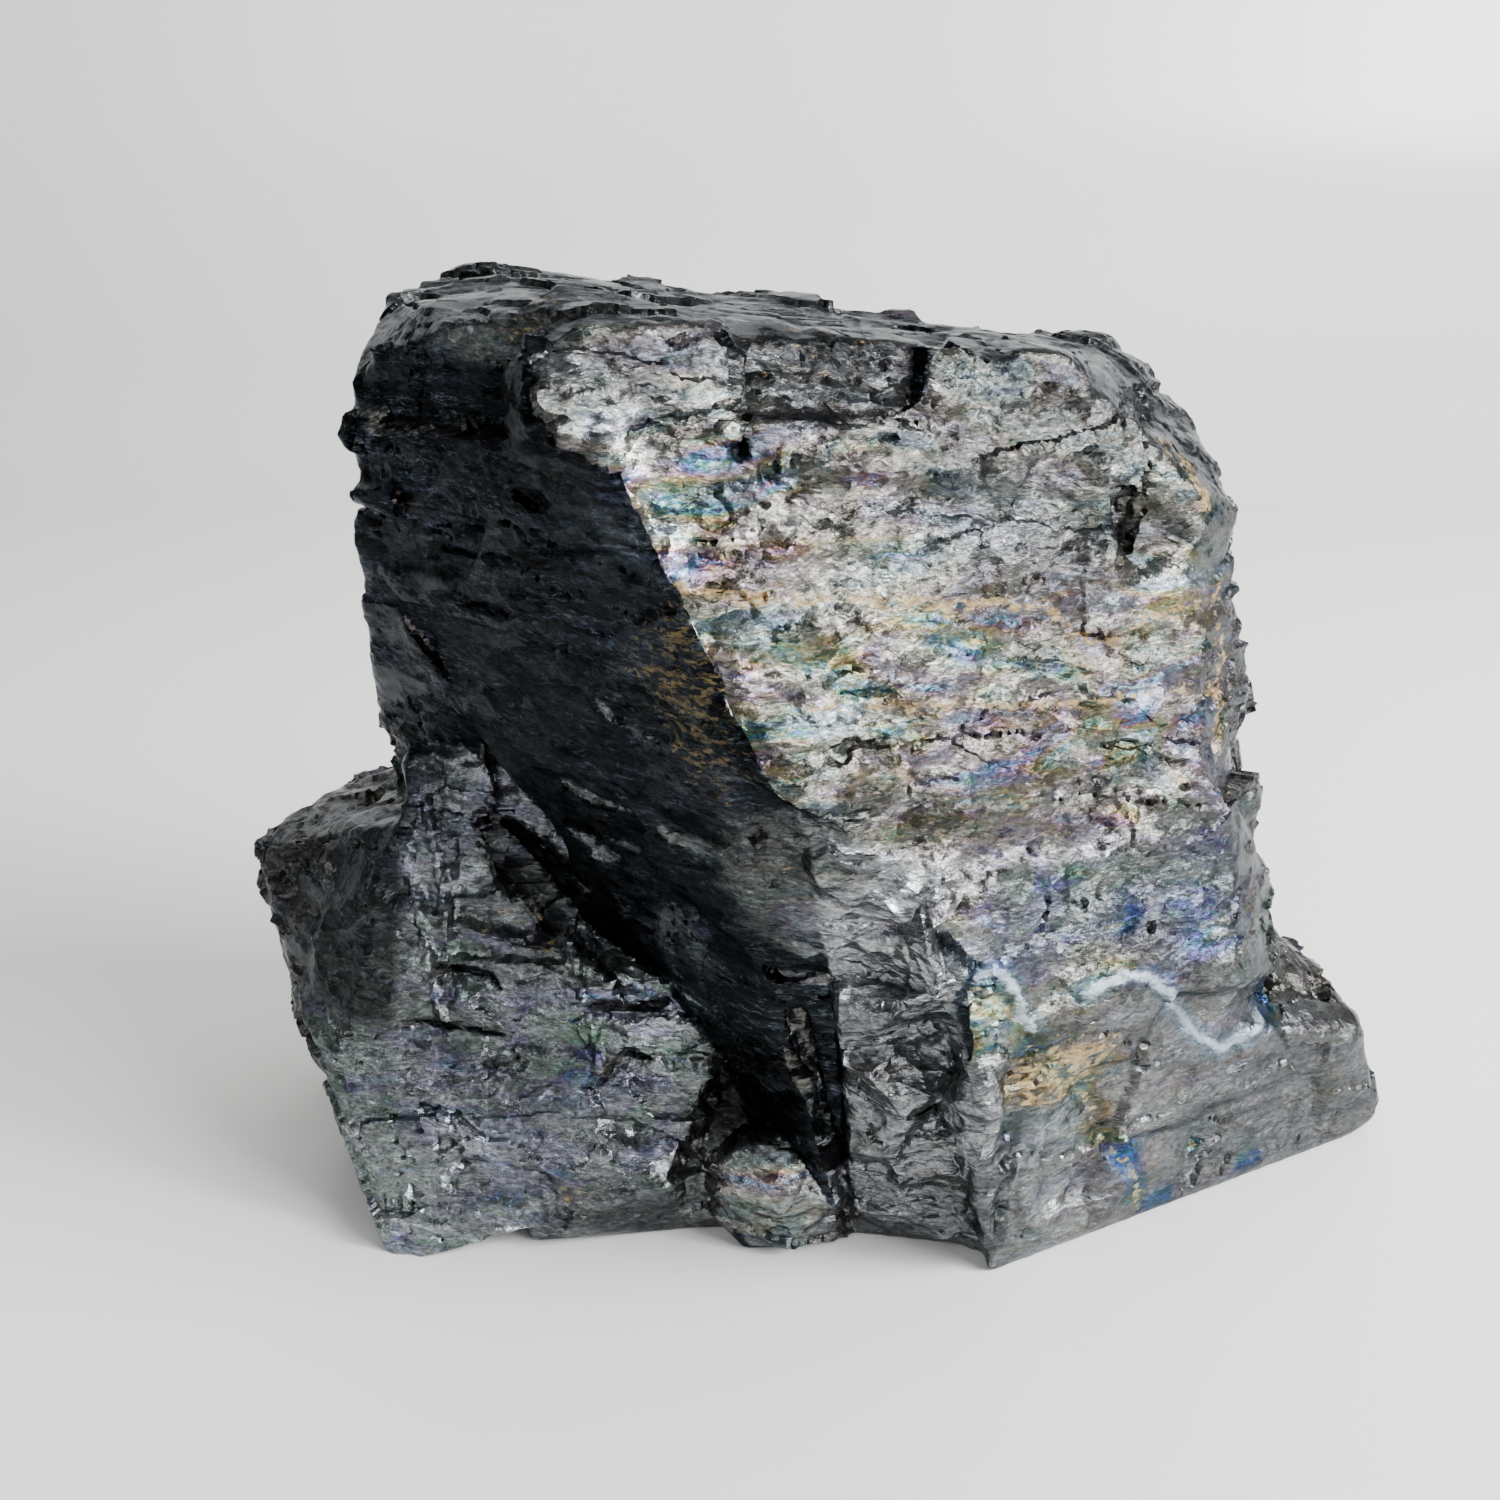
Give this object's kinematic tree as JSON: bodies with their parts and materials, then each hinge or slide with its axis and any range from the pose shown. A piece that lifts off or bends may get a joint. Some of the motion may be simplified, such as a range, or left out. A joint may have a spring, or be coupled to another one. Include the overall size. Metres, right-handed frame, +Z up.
{
  "type": "raw shungite chunk",
  "caption": "Raw, unpolished chunk of black half-metallic shungite with rough bedded faces, a sharp ridge and a flat to stand on.",
  "frame": {"origin": "on the surface that the chunk stands on, under the middle of its bounding box", "axes": "+Z up; the front, with the ridge between the bright and the dark face, towards -Y; the longest side along X, with the low toe at +X"},
  "size_m": [0.181, 0.1184, 0.1323],
  "materials": {
    "shungite": "raw broken rock, half-metallic grey to black, with a thin peacock-coloured film and ochre iron stains"
  },
  "bodies": {
    "root": {"shungite_chunk": "shungite"}
  },
  "joints": []
}
